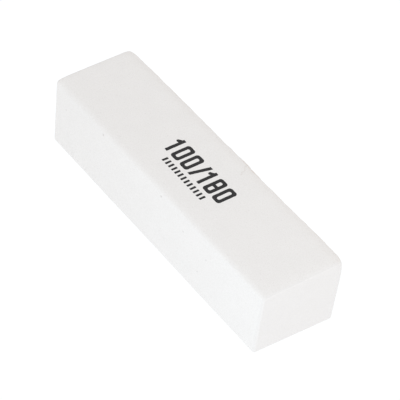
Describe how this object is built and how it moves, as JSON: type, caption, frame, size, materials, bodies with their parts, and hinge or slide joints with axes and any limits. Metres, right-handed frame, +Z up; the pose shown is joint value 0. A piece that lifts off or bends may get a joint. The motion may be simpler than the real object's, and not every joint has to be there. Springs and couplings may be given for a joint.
{
  "type": "nail buffer block",
  "caption": "Rectangular foam nail buffer block with white abrasive-coated long faces, softly rounded edges, bare foam ends and a printed grit legend on top.",
  "frame": {"origin": "middle of the long face that the block rests on", "axes": "+X along the block, +Y across it towards the back long face, +Z up from the resting face to the printed face"},
  "size_m": [0.095, 0.0264, 0.0217],
  "materials": {
    "foam": "bare cut closed-cell foam, matt",
    "bond": "elastic white adhesive coat, satin",
    "grit": "fine white abrasive grains in white resin, matt and slightly sparkling",
    "ink": "matt black pad-printing ink"
  },
  "bodies": {
    "root": {"foam_core": "foam", "bond_coat_top": "bond", "bond_coat_front": "bond", "bond_coat_bottom": "bond", "bond_coat_back": "bond", "grit_coat_top": "grit", "grit_coat_front": "grit", "grit_coat_bottom": "grit", "grit_coat_back": "grit", "printed_legend": "ink"}
  },
  "joints": []
}
